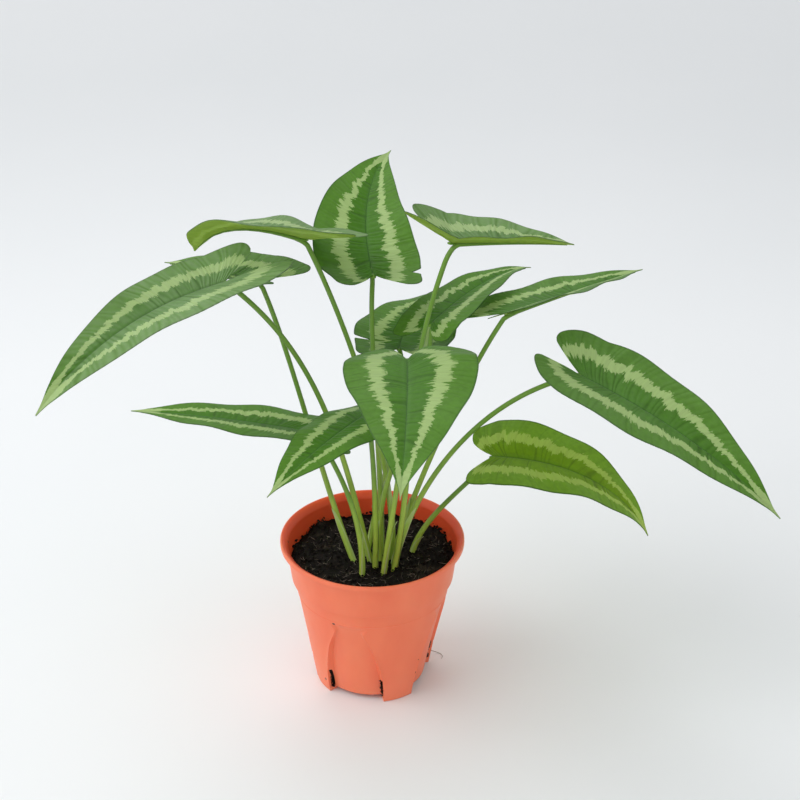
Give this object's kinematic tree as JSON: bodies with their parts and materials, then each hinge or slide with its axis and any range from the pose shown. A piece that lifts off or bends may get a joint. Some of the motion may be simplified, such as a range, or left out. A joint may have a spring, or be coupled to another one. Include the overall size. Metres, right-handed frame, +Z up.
{
  "type": "potted schismatoglottis wallichii",
  "caption": "Aroid house plant with arrow-shaped, silver-banded leaves on long petioles, growing from dark soil in a tapered nursery pot with four arched recesses.",
  "frame": {"origin": "middle of the pot's underside, on the surface that the pot stands on", "axes": "+Z up, -Y towards the viewer of the picture, +X to the viewer's right, along the plant's widest spread"},
  "size_m": [0.468, 0.3979, 0.3657],
  "materials": {
    "pot": "satin",
    "soil": "loose, matte",
    "leaf": "satin, with pale bands",
    "young_leaf": "satin, with pale bands"
  },
  "bodies": {
    "root": {"pot": "pot", "soil": "soil", "leaf_left_long": "leaf", "leaf_left_back": "leaf", "leaf_left_top": "leaf", "leaf_left_low": "leaf", "leaf_top": "leaf", "leaf_right_top": "leaf", "leaf_back_inner": "leaf", "leaf_back_low": "leaf", "leaf_right_back": "leaf", "leaf_right_large": "leaf", "leaf_right_low": "young_leaf", "leaf_front": "leaf", "leaf_front_small": "leaf"}
  },
  "joints": []
}
